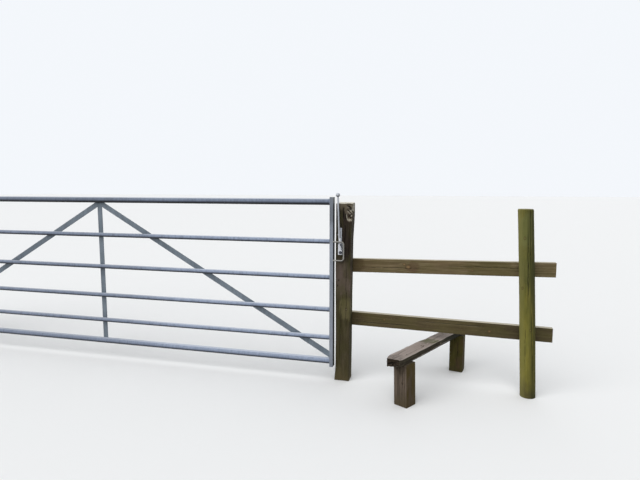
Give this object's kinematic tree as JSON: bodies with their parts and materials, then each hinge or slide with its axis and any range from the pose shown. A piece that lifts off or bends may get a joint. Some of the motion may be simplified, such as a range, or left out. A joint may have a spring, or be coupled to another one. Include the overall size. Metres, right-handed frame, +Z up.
{
  "type": "field gate with step stile",
  "caption": "A galvanised tubular field gate on timber posts, with a tall throw-over latch lever, next to a wooden step stile with a footboard on short legs",
  "frame": {"origin": "centre of the latch post's flat foot, at ground level", "axes": "+X along the closed gate from the hanging post to the stile, +Y away from the side the gate opens to, +Z up"},
  "size_m": [5.3538, 0.8898, 1.35],
  "materials": {
    "zinc": "dull",
    "post_timber": "rough",
    "rail_timber": "rough",
    "mossy_timber": "rough",
    "plank_timber": "rough"
  },
  "bodies": {
    "posts": {"latch_post": "post_timber", "hanging_post": "post_timber", "top_hinge_hook": "zinc", "bottom_hinge_hook": "zinc", "latch_plate": "zinc", "latch_pivot": "zinc", "round_post": "mossy_timber", "upper_stile_rail": "rail_timber", "lower_stile_rail": "rail_timber", "step_plank": "plank_timber", "near_step_leg": "post_timber", "far_step_leg": "post_timber"},
    "gate": {"top_rail": "zinc", "second_rail": "zinc", "third_rail": "zinc", "fourth_rail": "zinc", "fifth_rail": "zinc", "bottom_rail": "zinc", "latch_stile": "zinc", "hinge_stile": "zinc", "centre_upright": "zinc", "left_brace": "zinc", "right_brace": "zinc", "top_hinge_eye": "zinc", "bottom_hinge_eye": "zinc", "latch_hoop": "zinc"},
    "lever": {"lever_arm": "zinc", "lever_hub": "zinc", "latch_hook": "zinc", "lever_rod": "zinc", "lever_knob": "zinc"}
  },
  "joints": [
    {"name": "gate_swing", "type": "hinge", "parent": "posts", "child": "gate", "pos_m": [-3.7555, -0.051, 0], "axis": [0, 0, -1], "range_deg": [0, 100]},
    {"name": "lever_throw", "type": "hinge", "parent": "posts", "child": "lever", "pos_m": [-0.0085, 0, 0.889], "axis": [0, 1, 0], "range_deg": [0, 20]}
  ]
}
